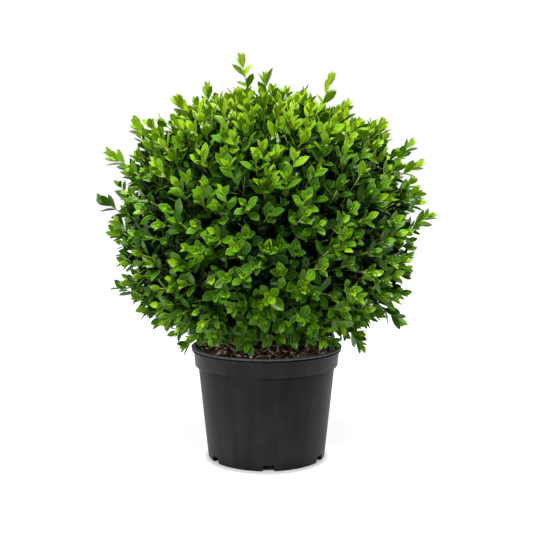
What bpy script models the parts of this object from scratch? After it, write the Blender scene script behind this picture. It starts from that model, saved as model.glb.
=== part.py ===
"""A ball of boxwood growing in a five-litre nursery pot.

The pot is turned from one profile and notched at its foot for drainage, and the potting mix fills
it. One short stem rises from the mix and runs up through the ball as a leader. Boughs leave the
stem in two tiers, each bough carries one mass of foliage, and the leader carries the topmost mass.
Lengths are metres, +Z is up, and the origin is the middle of the pot's flat underside. Angles
are degrees.
"""

import math
import random

import bmesh
import bpy
from mathutils import Vector
from mathutils.geometry import interpolate_bezier

# Space kept between two solids that rest on each other
SEAT_GAP = 0.0003

# Points of a mesh that are nearer than this are one point
SAME_POINT = 0.00001

# Pot: outer radii and heights of its turned profile
POT_HEIGHT = 0.172
RIM_RADIUS = 0.1155
RIM_INNER_RADIUS = 0.1085
LIP_BASE = 0.1655
LIP_ROUNDING = 0.0025
COLLAR_TOP_RADIUS = 0.1115
COLLAR_LOW_RADIUS = 0.1090
COLLAR_EDGE = 0.1441
COLLAR_BASE = 0.1419
BODY_TOP_RADIUS = 0.1049
BASE_RADIUS = 0.0902
FOOT_ROUNDING = 0.0025
POT_WALL = 0.002
POT_FLOOR = 0.003
POT_SEGMENTS = 40

# Drainage notches, cut up into the pot's foot
NOTCH_COUNT = 6
NOTCH_WIDTH = 0.017
NOTCH_HEIGHT = 0.0095
NOTCH_DEPTH = 0.009
NOTCH_TURN = 2.0
NOTCH_OVERCUT = 0.004

# Potting mix: a low mound with a flat patch where the stem stands
MIX_CENTRE_HEIGHT = 0.1660
MIX_EDGE_HEIGHT = 0.1650
MIX_FLAT_RADIUS = 0.014
MIX_RING_RADII = (0.036, 0.060, 0.085)
MIX_ROUGHNESS = 0.0012
MIX_SIDE_GAP = 0.00045
MIX_SEGMENTS = 22

# Stem: one tapering leader from the mix to the topmost mass
STEM_FOOT = MIX_CENTRE_HEIGHT + SEAT_GAP
STEM_TIP = 0.405
STEM_FOOT_RADIUS = 0.0082
STEM_NECK_RADIUS = 0.0056
STEM_TIP_RADIUS = 0.0018
STEM_NECK_HEIGHT = 0.024
STEM_LEAN = (0.0024, 0.0030)
STEM_BENDS = 1.5
STEM_UPRIGHT_SHARE = 0.25
ROOT_LOBES = 4
ROOT_LOBE_DEPTH = 0.22
STEM_RINGS = 11
STEM_RING_CROWDING = 1.6
STEM_SIDES = 8

# Ball: its heart and its outline, measured from the heart
HEART = Vector((0.0, 0.0, 0.360))
BALL_RADIUS = 0.237
TOP_FLATTENING = 0.021
FLATTENING_FROM = 0.60
FLATTENING_OVER = 0.30
UNDERSIDE = 0.177
LOWEST_SLOPE = -0.90

# Tiers of masses: count, first azimuth and elevation of their middles seen from the heart
LOW_COUNT = 6
LOW_AZIMUTH = 12.0
LOW_ELEVATION = -14.0
HIGH_COUNT = 5
HIGH_AZIMUTH = -6.0
HIGH_ELEVATION = 36.0

# Boughs: where each tier leaves the stem and where it meets its mass
BOUGH_SIDES = 5
BOUGH_RINGS = 6
LOW_BOUGH_ROOT = 0.196
LOW_BOUGH_REACH = 0.075
LOW_BOUGH_TIP = 0.262
LOW_BOUGH_RISE = 16.0
HIGH_BOUGH_ROOT = 0.262
HIGH_BOUGH_REACH = 0.053
HIGH_BOUGH_TIP = 0.386
HIGH_BOUGH_RISE = 50.0
BOUGH_STAGGER = 0.008
BOUGH_ROOT_RADIUS = 0.0024
BOUGH_TIP_RADIUS = 0.0014
BOUGH_LEAVING_RISE = 48.0
BOUGH_BEND = 0.35

# Cores: the dense inside of each mass
CORE_SHARE = 0.80
CORE_SUBDIVISIONS = 3
CORE_BUMPS = 0.045
CORE_CROWN = 0.20
MOST_CORE_FALL = 0.5
CORE_GAP = 0.0012
CORE_SETBACK = 0.005
CORE_FLOOR = 0.200
CORE_SHORTEST_EDGE = 0.0002
LOW_CORE_TILT = -20.0
HIGH_CORE_TILT = 35.0

# Shoots and their leaves, drawn larger than life so that a few hundred cover the ball
SHOOT_COUNT = 92
SHOOT_FOCUS = Vector((0.0, 0.0, 0.305))
SHOOT_ROOT_DEPTH = 0.013
SHOOT_STEP = 0.004
SHOOT_MARGIN = 0.010
MOST_SHOOT_STEPS = 40
SHOOT_SIDES = 3
SHOOT_FOOT_RADIUS = 0.0017
SHOOT_TIP_RADIUS = 0.0009
REACH_SCATTER = (-0.014, 0.004)
LONG_SHOOT_CHANCE = 0.12
LONG_SHOOT_EXTRA = 0.010
LEAF_PAIRS = ((0.022, 0.032, 36.0), (0.036, 0.041, 54.0), (0.049, 0.044, 70.0))
PAIR_SPACING = 0.014
TIP_LEAF = 0.021
LEAF_SIZES = (1.0, 0.72)
LEAF_WIDTH_SHARE = 0.60
LEAF_THICKNESS_SHARE = 0.035
LEAF_FOLD_SHARE = 0.08
LEAF_WIDEST_AT = 0.50
LEAF_ROOT_SUNK = 0.0006
LEAF_SPREAD_SCATTER = (-6.0, 6.0)
LEAF_LENGTH_SCATTER = (0.9, 1.1)
TWIG_IN_TIP_LEAF = 0.8
MASS_STEM_LENGTH = 0.030
CELL_MARGIN = 0.0006
POT_CLEARANCE = 0.0015
LIMB_SAMPLES = 24
LIMB_CLEARANCE = 0.006
SEED = 11

# Tips of the shoots that stand out of the outline
LEADING_TIPS = (
    (-0.040, 0.000, 0.612),
    (-0.003, 0.030, 0.588),
    (0.099, -0.010, 0.580),
    (-0.116, 0.000, 0.564),
    (0.183, 0.005, 0.514),
    (-0.193, 0.015, 0.508),
    (-0.235, -0.015, 0.458),
    (-0.2535, 0.000, 0.386),
    (-0.231, 0.010, 0.266),
    (0.2535, 0.000, 0.368),
    (0.234, 0.015, 0.448),
    (0.203, -0.010, 0.204),
    (-0.132, -0.020, 0.167),
    (0.146, -0.020, 0.165),
    (0.020, -0.2500, 0.350),
    (-0.015, 0.2500, 0.372),
)

PLASTIC = ((0.032, 0.032, 0.034, 1.0), 0.55)
POTTING_MIX = ((0.060, 0.036, 0.022, 1.0), 0.95)
BARK = ((0.130, 0.085, 0.050, 1.0), 0.90)
LEAF_LOW = ((0.050, 0.160, 0.018, 1.0), 0.45)
LEAF_HIGH = ((0.075, 0.220, 0.020, 1.0), 0.45)
LEAF_TOP = ((0.110, 0.280, 0.028, 1.0), 0.45)

# Edges that turn by more than these many degrees stay sharp
POT_SHARP_EDGE = 30.0
STEM_SHARP_EDGE = 60.0


def clear_scene():
    for thing in list(bpy.data.objects):
        bpy.data.objects.remove(thing, do_unlink=True)


def finish_material(name, colour, roughness):
    finish = bpy.data.materials.new(name)
    finish.use_nodes = True
    shader = finish.node_tree.nodes["Principled BSDF"]
    shader.inputs["Base Color"].default_value = colour
    shader.inputs["Roughness"].default_value = roughness
    shader.inputs["Metallic"].default_value = 0.0
    return finish


def solid(name, bm, look=None, home=None):
    """Turns a bmesh into an object, in the scene's own collection unless another is given."""
    bmesh.ops.recalc_face_normals(bm, faces=bm.faces)
    mesh = bpy.data.meshes.new(name)
    bm.to_mesh(mesh)
    bm.free()
    made = bpy.data.objects.new(name, mesh)
    (home or bpy.context.scene.collection).objects.link(made)
    if look:
        mesh.materials.append(finish_material(name, *look))
    return made


def shade_round(made, angle):
    made.data.shade_smooth()
    made.data.set_sharp_from_angle(angle=math.radians(angle))


def as_guide(made):
    made.hide_render = True
    made.display_type = "WIRE"


def apply_modifiers(made):
    """Replaces an object's mesh by what its modifiers make of it."""
    bpy.context.view_layer.update()
    graph = bpy.context.evaluated_depsgraph_get()
    shaped = bpy.data.meshes.new_from_object(made.evaluated_get(graph))
    made.modifiers.clear()
    made.data = shaped


def heading(azimuth, elevation):
    """Unit vector for an azimuth from +X and an elevation above level, both in degrees."""
    turn = math.radians(azimuth)
    rise = math.radians(elevation)
    return Vector((math.cos(rise) * math.cos(turn), math.cos(rise) * math.sin(turn), math.sin(rise)))


def turned(profile, segments):
    """Spins a profile of (radius, height) points, which starts and ends on the axis."""
    bm = bmesh.new()
    points = [bm.verts.new((radius, 0.0, height)) for radius, height in profile]
    lines = [bm.edges.new(ends) for ends in zip(points, points[1:])]
    bmesh.ops.spin(
        bm,
        geom=points + lines,
        cent=(0.0, 0.0, 0.0),
        axis=(0.0, 0.0, 1.0),
        angle=math.tau,
        steps=segments,
        use_duplicate=False,
    )
    bmesh.ops.remove_doubles(bm, verts=bm.verts, dist=SAME_POINT)
    return bm


def notch_cutters():
    """Blocks round the pot's foot, each as wide and as high as one drainage notch."""
    bm = bmesh.new()
    inner = BASE_RADIUS - NOTCH_DEPTH
    outer = BASE_RADIUS + NOTCH_OVERCUT
    for index in range(NOTCH_COUNT):
        out = heading(NOTCH_TURN - 90.0 + index * 360.0 / NOTCH_COUNT, 0.0)
        across = Vector((-out.y, out.x, 0.0)) * NOTCH_WIDTH / 2
        corners = []
        for height in (-NOTCH_OVERCUT, NOTCH_HEIGHT):
            for radius, side in ((inner, -1), (outer, -1), (outer, 1), (inner, 1)):
                corners.append(bm.verts.new(out * radius + across * side + Vector((0, 0, height))))
        bmesh.ops.convex_hull(bm, input=corners)
    cutter = solid("notch_cutters", bm)
    as_guide(cutter)
    return cutter


def cut_from(made, cutter, name):
    cut = made.modifiers.new(name, "BOOLEAN")
    cut.operation = "DIFFERENCE"
    cut.solver = "EXACT"
    cut.object = cutter


def make_pot(cutter):
    profile = [
        (0.0, 0.0),
        (BASE_RADIUS - FOOT_ROUNDING, 0.0),
        (BASE_RADIUS, FOOT_ROUNDING),
        (BODY_TOP_RADIUS, COLLAR_BASE),
        (COLLAR_LOW_RADIUS, COLLAR_EDGE),
        (COLLAR_TOP_RADIUS, LIP_BASE),
        (RIM_RADIUS, LIP_BASE),
        (RIM_RADIUS, POT_HEIGHT - LIP_ROUNDING),
        (RIM_RADIUS - LIP_ROUNDING, POT_HEIGHT),
        (RIM_INNER_RADIUS, POT_HEIGHT),
        (COLLAR_LOW_RADIUS - POT_WALL, COLLAR_EDGE),
        (BODY_TOP_RADIUS - POT_WALL, COLLAR_BASE),
        (BASE_RADIUS - POT_WALL, POT_FLOOR),
        (0.0, POT_FLOOR),
    ]
    pot = solid("pot", turned(profile, POT_SEGMENTS), PLASTIC)
    shade_round(pot, POT_SHARP_EDGE)
    cut_from(pot, cutter, "drainage notches")


def inner_wall_radius(height):
    """Radius of the pot's inner face at a height above the collar's edge."""
    climb = (height - COLLAR_EDGE) / (POT_HEIGHT - COLLAR_EDGE)
    low = COLLAR_LOW_RADIUS - POT_WALL
    return low + (RIM_INNER_RADIUS - low) * climb


def make_potting_mix(cutter, chance):
    """The filling of the pot, its top a low uneven mound."""
    profile = [
        (0.0, POT_FLOOR + SEAT_GAP),
        (BASE_RADIUS - POT_WALL - MIX_SIDE_GAP, POT_FLOOR + SEAT_GAP),
        (BODY_TOP_RADIUS - POT_WALL - MIX_SIDE_GAP, COLLAR_BASE),
        (COLLAR_LOW_RADIUS - POT_WALL - MIX_SIDE_GAP, COLLAR_EDGE),
        (inner_wall_radius(MIX_EDGE_HEIGHT) - MIX_SIDE_GAP, MIX_EDGE_HEIGHT),
    ]
    for radius in reversed(MIX_RING_RADII):
        share = radius / RIM_INNER_RADIUS
        height = MIX_CENTRE_HEIGHT + (MIX_EDGE_HEIGHT - MIX_CENTRE_HEIGHT) * share**2
        profile.append((radius, height))
    profile.append((MIX_FLAT_RADIUS, MIX_CENTRE_HEIGHT))
    profile.append((0.0, MIX_CENTRE_HEIGHT))
    bm = turned(profile, MIX_SEGMENTS)
    for point in bm.verts:
        radius = math.hypot(point.co.x, point.co.y)
        on_top = point.co.z > MIX_EDGE_HEIGHT + SAME_POINT
        if on_top and radius > MIX_FLAT_RADIUS + SAME_POINT:
            point.co.z += chance.uniform(-MIX_ROUGHNESS, MIX_ROUGHNESS)
    bmesh.ops.triangulate(bm, faces=bm.faces)
    mix = solid("potting_mix", bm, POTTING_MIX)
    cut_from(mix, cutter, "drainage notches")


def limb(path, radii, sides, lobes=None):
    """A closed tube of rings square to its path, one radius for each point of the path."""
    bm = bmesh.new()
    aside = Vector((1.0, 0.0, 0.0))
    rings = []
    for index, (centre, radius) in enumerate(zip(path, radii)):
        before = path[max(index - 1, 0)]
        after = path[min(index + 1, len(path) - 1)]
        along = (after - before).normalized()
        aside = (aside - along * aside.dot(along)).normalized()
        across = along.cross(aside)
        ring = []
        for side in range(sides):
            turn = math.tau * side / sides
            swell = 1.0 + (lobes(index, turn) if lobes else 0.0)
            spoke = aside * math.cos(turn) + across * math.sin(turn)
            ring.append(bm.verts.new(centre + spoke * radius * swell))
        rings.append(ring)
    for lower, upper in zip(rings, rings[1:]):
        for side in range(sides):
            following = (side + 1) % sides
            bm.faces.new((lower[side], lower[following], upper[following], upper[side]))
    bm.faces.new(rings[0])
    bm.faces.new(rings[-1])
    return bm


def stem_point(share):
    """Point of the leader at a share of its height, with its slight double bend."""
    height = STEM_FOOT + (STEM_TIP - STEM_FOOT) * share
    bend = math.sin(math.pi * share * STEM_BENDS)
    settle = min(1.0, share / STEM_UPRIGHT_SHARE)
    return Vector((STEM_LEAN[0] * bend * settle, STEM_LEAN[1] * bend * share * settle, height))


def stem_at(height):
    return stem_point((height - STEM_FOOT) / (STEM_TIP - STEM_FOOT))


def stem_radius(height):
    """Wide at the root flare, then an even taper to the leader's tip."""
    rise = (height - STEM_FOOT) / STEM_NECK_HEIGHT
    flare = (STEM_FOOT_RADIUS - STEM_NECK_RADIUS) * max(0.0, 1.0 - rise) ** 2
    climb = (height - STEM_FOOT) / (STEM_TIP - STEM_FOOT)
    return STEM_NECK_RADIUS + (STEM_TIP_RADIUS - STEM_NECK_RADIUS) * climb + flare


def make_stem():
    """The stem, and the slightly wider guide that the boughs' roots are cut back to."""
    # Rings crowd towards the foot, where the root flare is
    shares = [(index / (STEM_RINGS - 1)) ** STEM_RING_CROWDING for index in range(STEM_RINGS)]
    path = [stem_point(share) for share in shares]
    path[1].x = path[0].x
    path[1].y = path[0].y

    def root_lobes(index, turn):
        flare = max(0.0, 1.0 - (path[index].z - STEM_FOOT) / STEM_NECK_HEIGHT)
        return ROOT_LOBE_DEPTH * flare * math.cos(ROOT_LOBES * turn)

    radii = [stem_radius(point.z) for point in path]
    stem = solid("trunk", limb(path, radii, STEM_SIDES, root_lobes), BARK)
    shade_round(stem, STEM_SHARP_EDGE)
    wider = [radius + SEAT_GAP for radius in radii]
    guide = solid("trunk_clearance", limb(path, wider, STEM_SIDES, root_lobes))
    as_guide(guide)
    return guide


def keep_main_body(made):
    """Drops what the fusing left loose: a scrap cut off from the rest, or a sealed hollow's shell."""
    bm = bmesh.new()
    bm.from_mesh(made.data)
    waiting = set(bm.verts)
    bodies = []
    while waiting:
        body = set()
        edge_of_body = [waiting.pop()]
        while edge_of_body:
            point = edge_of_body.pop()
            body.add(point)
            for line in point.link_edges:
                other = line.other_vert(point)
                if other in waiting:
                    waiting.remove(other)
                    edge_of_body.append(other)
        bodies.append(body)
    bodies.sort(key=len)
    for scrap in bodies[:-1]:
        bmesh.ops.delete(bm, geom=list(scrap), context="VERTS")
    bm.to_mesh(made.data)
    bm.free()


class Mass:
    """One mass of foliage: its middle's heading, its bough's tip and the way its stem runs on."""

    def __init__(self, name, azimuth, elevation, tip, rise, tilt, look):
        self.name = name
        self.azimuth = azimuth
        self.middle = heading(azimuth, elevation)
        self.tip = tip
        self.run = heading(azimuth, rise)
        self.inner_normal = heading(azimuth, tilt)
        self.look = look


def lay_out_masses():
    masses = []
    for index in range(LOW_COUNT):
        azimuth = LOW_AZIMUTH + index * 360.0 / LOW_COUNT
        tip = heading(azimuth, 0.0) * LOW_BOUGH_REACH + Vector((0, 0, LOW_BOUGH_TIP))
        name = f"foliage_low_{index + 1}"
        masses.append(
            Mass(name, azimuth, LOW_ELEVATION, tip, LOW_BOUGH_RISE, LOW_CORE_TILT, LEAF_LOW)
        )
    for index in range(HIGH_COUNT):
        azimuth = HIGH_AZIMUTH + index * 360.0 / HIGH_COUNT
        tip = heading(azimuth, 0.0) * HIGH_BOUGH_REACH + Vector((0, 0, HIGH_BOUGH_TIP))
        name = f"foliage_high_{index + 1}"
        masses.append(
            Mass(name, azimuth, HIGH_ELEVATION, tip, HIGH_BOUGH_RISE, HIGH_CORE_TILT, LEAF_HIGH)
        )
    masses.append(Mass("foliage_top", 0.0, 90.0, stem_point(1.0), 90.0, 90.0, LEAF_TOP))
    return masses


def bough_path(mass, root_height, count):
    """Points of a smooth bend from the stem's middle up and out to where the mass begins."""
    root = stem_at(root_height)
    reach = (mass.tip - root).length
    leaving = root + heading(mass.azimuth, BOUGH_LEAVING_RISE) * reach * BOUGH_BEND
    arriving = mass.tip - mass.run * reach * BOUGH_BEND
    return interpolate_bezier(root, leaving, arriving, mass.tip, count)


def make_bough(name, mass, root_height, guide):
    """One tapering limb, cut back to the stem's side, and the points that leaves keep clear of."""
    path = bough_path(mass, root_height, BOUGH_RINGS)
    thinning = (BOUGH_TIP_RADIUS - BOUGH_ROOT_RADIUS) / (BOUGH_RINGS - 1)
    radii = [BOUGH_ROOT_RADIUS + thinning * index for index in range(BOUGH_RINGS)]
    bough = solid(name, limb(path, radii, BOUGH_SIDES), BARK)
    shade_round(bough, STEM_SHARP_EDGE)
    cut_from(bough, guide, "seat on the stem")
    return bough_path(mass, root_height, LIMB_SAMPLES)


def ball_reach(way):
    """Distance from the ball's heart to its outline along a unit vector."""
    flat = (way.z - FLATTENING_FROM) / FLATTENING_OVER
    reach = BALL_RADIUS - TOP_FLATTENING * min(1.0, max(0.0, flat))
    if way.z < 0.0:
        reach = min(reach, (HEART.z - UNDERSIDE) / -way.z)
    return reach


def core_reach(way, mass):
    """Distance from the heart to a mass's core, which falls away from the mass's middle."""
    fall = min(CORE_CROWN * way.angle(mass.middle) ** 2, MOST_CORE_FALL)
    return ball_reach(way) * CORE_SHARE * (1.0 - fall)


def cell_walls(mass, masses):
    """Inward normals of the planes through the heart that part a mass from its neighbours."""
    return [(mass.middle - other.middle).normalized() for other in masses if other is not mass]


def slice_off(bm, point, normal):
    """Keeps what lies on the normal's side of a plane, and closes the cut."""
    everything = bm.verts[:] + bm.edges[:] + bm.faces[:]
    bmesh.ops.bisect_plane(
        bm, geom=everything, dist=SAME_POINT, plane_co=point, plane_no=normal, clear_inner=True
    )
    rim = [edge for edge in bm.edges if edge.is_boundary]
    if rim:
        bmesh.ops.holes_fill(bm, edges=rim, sides=0)


def make_core(mass, masses):
    """The dense inside of a mass: a lumpy ball, smaller than the outline, cut to the mass's cell."""
    chance = random.Random(SEED)
    bm = bmesh.new()
    bmesh.ops.create_icosphere(bm, subdivisions=CORE_SUBDIVISIONS, radius=1.0)
    for point in bm.verts:
        way = point.co.normalized()
        bump = 1.0 + chance.uniform(-CORE_BUMPS, CORE_BUMPS)
        point.co = HEART + way * core_reach(way, mass) * bump
    for normal in cell_walls(mass, masses):
        slice_off(bm, HEART + normal * CORE_GAP, normal)
    slice_off(bm, mass.tip + mass.inner_normal * CORE_SETBACK, mass.inner_normal)
    slice_off(bm, Vector((0.0, 0.0, CORE_FLOOR)), Vector((0.0, 0.0, 1.0)))
    bmesh.ops.remove_doubles(bm, verts=bm.verts, dist=CORE_SHORTEST_EDGE)
    bmesh.ops.triangulate(bm, faces=bm.faces)
    return bm


def make_leaf(root, along, face, length):
    """A pointed leaf, folded a little along its midrib, with a keel under it."""
    across = face.cross(along).normalized()
    up = along.cross(across).normalized()
    half_width = length * LEAF_WIDTH_SHARE / 2
    widest = root + along * length * LEAF_WIDEST_AT
    fold = up * length * LEAF_FOLD_SHARE
    bm = bmesh.new()
    base = bm.verts.new(root)
    tip = bm.verts.new(root + along * length)
    left = bm.verts.new(widest + across * half_width + fold)
    right = bm.verts.new(widest - across * half_width + fold)
    keel = bm.verts.new(widest - up * length * LEAF_THICKNESS_SHARE)
    for edge_point in (left, right):
        bm.faces.new((base, edge_point, tip))
        bm.faces.new((base, edge_point, keel))
        bm.faces.new((tip, edge_point, keel))
    return bm


class Shoot:
    """One leafy shoot: its tip, the way it points there, and the mass that it grows from."""

    def __init__(self, tip, masses):
        from_heart = (tip - HEART).normalized()
        self.home = max(masses, key=lambda mass: mass.middle.dot(from_heart))
        self.tip = pushed_inside(tip, cell_walls(self.home, masses))
        self.way = (self.tip - SHOOT_FOCUS).normalized()

    def foot(self):
        """The first point back along the shoot that lies well inside the core."""
        point = self.tip.copy()
        for _ in range(MOST_SHOOT_STEPS):
            point -= self.way * SHOOT_STEP
            offset = point - HEART
            if offset.length < core_reach(offset.normalized(), self.home) - SHOOT_ROOT_DEPTH:
                break
        return point


def pushed_inside(tip, walls):
    """Moves a tip that is too near its cell's wall inwards, at the same distance from the heart."""
    offset = tip - HEART
    reach = offset.length
    for normal in walls:
        offset += normal * max(0.0, SHOOT_MARGIN - offset.dot(normal))
    return HEART + offset.normalized() * reach


def lay_out_tips(chance):
    """Shoot tips spread evenly over the ball by the golden angle, with the leading tips put in."""
    golden = math.pi * (3.0 - math.sqrt(5.0))
    tips = []
    for index in range(SHOOT_COUNT):
        rise = 1.0 - (1.0 - LOWEST_SLOPE) * (index + 0.5) / SHOOT_COUNT
        level = math.sqrt(1.0 - rise * rise)
        turn = golden * index
        way = Vector((level * math.cos(turn), level * math.sin(turn), rise))
        reach = ball_reach(way) + chance.uniform(*REACH_SCATTER)
        if chance.random() < LONG_SHOOT_CHANCE and rise > 0.0:
            reach += LONG_SHOOT_EXTRA
        tips.append(HEART + way * reach)
    for leading in map(Vector, LEADING_TIPS):
        nearest = min(range(len(tips)), key=lambda index: (tips[index] - leading).length)
        tips[nearest] = leading
    return tips


def nearest_wall(point, walls):
    return min((point - HEART).dot(normal) for normal in walls)


def clear_of_pot(point):
    over_pot = math.hypot(point.x, point.y) < RIM_RADIUS + POT_CLEARANCE
    return point.z > POT_HEIGHT + POT_CLEARANCE or not over_pot


def fits(corners, walls, limbs):
    """True where the piece with these corners keeps to its cell and off the pot and the limbs."""
    if nearest_wall(min(corners, key=lambda corner: nearest_wall(corner, walls)), walls) < CELL_MARGIN:
        return False
    middle = sum(corners, Vector()) / len(corners)
    samples = corners + [middle] + [(corner + middle) / 2 for corner in corners]
    if not all(map(clear_of_pot, samples)):
        return False
    return all((sample - point).length > LIMB_CLEARANCE for sample in samples for point in limbs)


def leaf_places(shoot, chance):
    """(root, heading, facing, length) of a shoot's leaves: one at the tip, then crossed pairs."""
    aside = shoot.way.orthogonal().normalized()
    across = shoot.way.cross(aside)
    turn = chance.uniform(0.0, math.tau)
    places = [(shoot.tip - shoot.way * TIP_LEAF, shoot.way, aside, TIP_LEAF)]
    pairs = list(LEAF_PAIRS)
    leafy = (shoot.tip - shoot.foot()).length - SHOOT_ROOT_DEPTH
    while pairs[-1][0] + PAIR_SPACING < leafy:
        setback, length, spread = pairs[-1]
        pairs.append((setback + PAIR_SPACING, length, spread))
    for pair, (setback, length, spread) in enumerate(pairs):
        for side in (0.0, math.pi):
            angle = turn + pair * math.pi / 2 + side
            outward = aside * math.cos(angle) + across * math.sin(angle)
            lean = math.radians(spread + chance.uniform(*LEAF_SPREAD_SCATTER))
            along = shoot.way * math.cos(lean) + outward * math.sin(lean)
            face = shoot.way * math.sin(lean) - outward * math.cos(lean)
            root = shoot.tip - shoot.way * setback - along * LEAF_ROOT_SUNK
            places.append((root, along, face, length * chance.uniform(*LEAF_LENGTH_SCATTER)))
    return places


def grow_shoot(shoot, walls, limbs, chance, pieces):
    """Adds a shoot's twig, and each leaf that has room, to the collection of pieces."""
    foot = shoot.foot()
    twig_end = shoot.tip - shoot.way * TIP_LEAF * TWIG_IN_TIP_LEAF
    places = leaf_places(shoot, chance)
    if not fits([foot, twig_end], walls, limbs):
        return
    twig = limb([foot, twig_end], [SHOOT_FOOT_RADIUS, SHOOT_TIP_RADIUS], SHOOT_SIDES)
    solid("twig", twig, home=pieces)
    for root, along, face, length in places:
        for size in LEAF_SIZES:
            leaf = make_leaf(root, along, face, length * size)
            if fits([point.co.copy() for point in leaf.verts], walls, limbs):
                solid("leaf", leaf, home=pieces)
                break
            leaf.free()


def fuse(body, pieces):
    """Joins a collection of overlapping pieces to a body, and removes the pieces."""
    join = body.modifiers.new("fuse foliage", "BOOLEAN")
    join.operation = "UNION"
    join.solver = "MANIFOLD"
    join.operand_type = "COLLECTION"
    join.collection = pieces
    apply_modifiers(body)
    for piece in list(pieces.objects):
        bpy.data.objects.remove(piece, do_unlink=True)
    bpy.data.collections.remove(pieces)
    keep_main_body(body)


def grow_mass(mass, masses, shoots, limbs, chance):
    """Fuses a mass's core, stem, shoots and leaves into one solid."""
    walls = cell_walls(mass, masses)
    pieces = bpy.data.collections.new(mass.name + "_pieces")
    bpy.context.scene.collection.children.link(pieces)
    body = solid(mass.name, make_core(mass, masses), mass.look)
    stem_path = [mass.tip + mass.run * SEAT_GAP, mass.tip + mass.run * MASS_STEM_LENGTH]
    stem = limb(stem_path, [BOUGH_TIP_RADIUS, BOUGH_TIP_RADIUS], BOUGH_SIDES)
    solid("stem", stem, home=pieces)
    for shoot in shoots:
        grow_shoot(shoot, walls, limbs, chance, pieces)
    fuse(body, pieces)


def make_plant():
    chance = random.Random(SEED)
    guide = make_stem()
    masses = lay_out_masses()
    limbs = [stem_point(index / LIMB_SAMPLES) for index in range(LIMB_SAMPLES + 1)]
    for index, mass in enumerate(masses[:-1]):
        low = index < LOW_COUNT
        number = index + 1 if low else index + 1 - LOW_COUNT
        root_height = LOW_BOUGH_ROOT if low else HIGH_BOUGH_ROOT
        root_height += BOUGH_STAGGER * (number % 2)
        name = f"bough_{'low' if low else 'high'}_{number}"
        limbs += make_bough(name, mass, root_height, guide)
    shoots = [Shoot(tip, masses) for tip in lay_out_tips(chance)]
    for mass in masses:
        own = [shoot for shoot in shoots if shoot.home is mass]
        grow_mass(mass, masses, own, limbs, chance)


clear_scene()
cutter = notch_cutters()
make_pot(cutter)
make_potting_mix(cutter, random.Random(SEED))
make_plant()
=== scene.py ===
"""The looks of a potted boxwood ball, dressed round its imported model.

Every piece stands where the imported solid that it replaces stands. Lengths are metres, +Z is up,
the pot's axis is the Z axis, and the side that the photograph shows faces -Y.
"""

import math

import bpy
import numpy as np
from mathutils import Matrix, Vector


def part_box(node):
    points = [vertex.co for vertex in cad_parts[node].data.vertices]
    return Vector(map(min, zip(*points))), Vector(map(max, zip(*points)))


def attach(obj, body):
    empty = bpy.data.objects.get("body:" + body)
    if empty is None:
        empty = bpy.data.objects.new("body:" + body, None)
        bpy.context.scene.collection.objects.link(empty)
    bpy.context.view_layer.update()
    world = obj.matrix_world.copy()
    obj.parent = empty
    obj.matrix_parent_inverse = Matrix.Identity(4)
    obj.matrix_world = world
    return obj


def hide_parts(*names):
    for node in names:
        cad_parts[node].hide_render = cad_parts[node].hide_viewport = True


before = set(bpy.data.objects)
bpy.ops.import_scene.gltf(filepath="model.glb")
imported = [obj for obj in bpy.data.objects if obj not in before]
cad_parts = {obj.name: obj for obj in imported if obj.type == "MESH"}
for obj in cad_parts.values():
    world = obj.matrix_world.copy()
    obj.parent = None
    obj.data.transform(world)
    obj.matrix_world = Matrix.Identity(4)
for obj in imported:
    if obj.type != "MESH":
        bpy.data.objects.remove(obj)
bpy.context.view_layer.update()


# The studio: a pale floor glowing as bright as the sky, but for a soft painted shadow at the pot's
# foot. The sky's light dims behind the camera. A broad lamp shines from high in front, and a weak
# one from low on the left. The camera is 1.4 m in front, above the crown's middle, tilted down.
CAMERA_PLACE = (0.0, -1.40, 0.4305)
CAMERA_PITCH = 5.62
CAMERA_LENS = 62.2
FLOOR_SIZE = 12.0
FLOOR_COLOUR = (0.22, 0.22, 0.22, 1.0)
FLOOR_ROUGHNESS = 0.9
FLOOR_GLOW = 0.88
FLOOR_SHADE = (0.35, 0.35, 0.35, 1.0)
FLOOR_SHADE_MIDDLE = (0.0, -0.012, 0.0)
FLOOR_FADE = (0.084, 0.100)
SKY_BRIGHT = (1.0, 1.0, 1.0, 1.0)
SKY_DIM = (0.08, 0.08, 0.08, 1.0)
SKY_FADE = (-0.9, 0.1)
SKY_LIGHT = 0.54
SKY_SEEN = 1.0
KEY_TURN = (math.radians(26.0), 0.0, math.radians(2.0))
KEY_STRENGTH = 7.4
KEY_ANGLE = math.radians(28.0)
FILL_TURN = (math.radians(75.0), 0.0, math.radians(-32.0))
FILL_STRENGTH = 1.3
FILL_ANGLE = math.radians(20.0)


class Value:
    """One output of a node. Arithmetic on it adds Math nodes to its material."""

    def __init__(self, finish, socket):
        self.finish = finish
        self.socket = socket

    def worked(self, operation, first, second):
        return self.finish.node("Math", {"operation": operation}, {0: first, 1: second})

    def __add__(self, other):
        return self.worked("ADD", self, other)

    def __sub__(self, other):
        return self.worked("SUBTRACT", self, other)

    def __mul__(self, other):
        return self.worked("MULTIPLY", self, other)

    def __truediv__(self, other):
        return self.worked("DIVIDE", self, other)

    __radd__ = __add__
    __rmul__ = __mul__

    def __rsub__(self, other):
        return self.worked("SUBTRACT", other, self)


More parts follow.
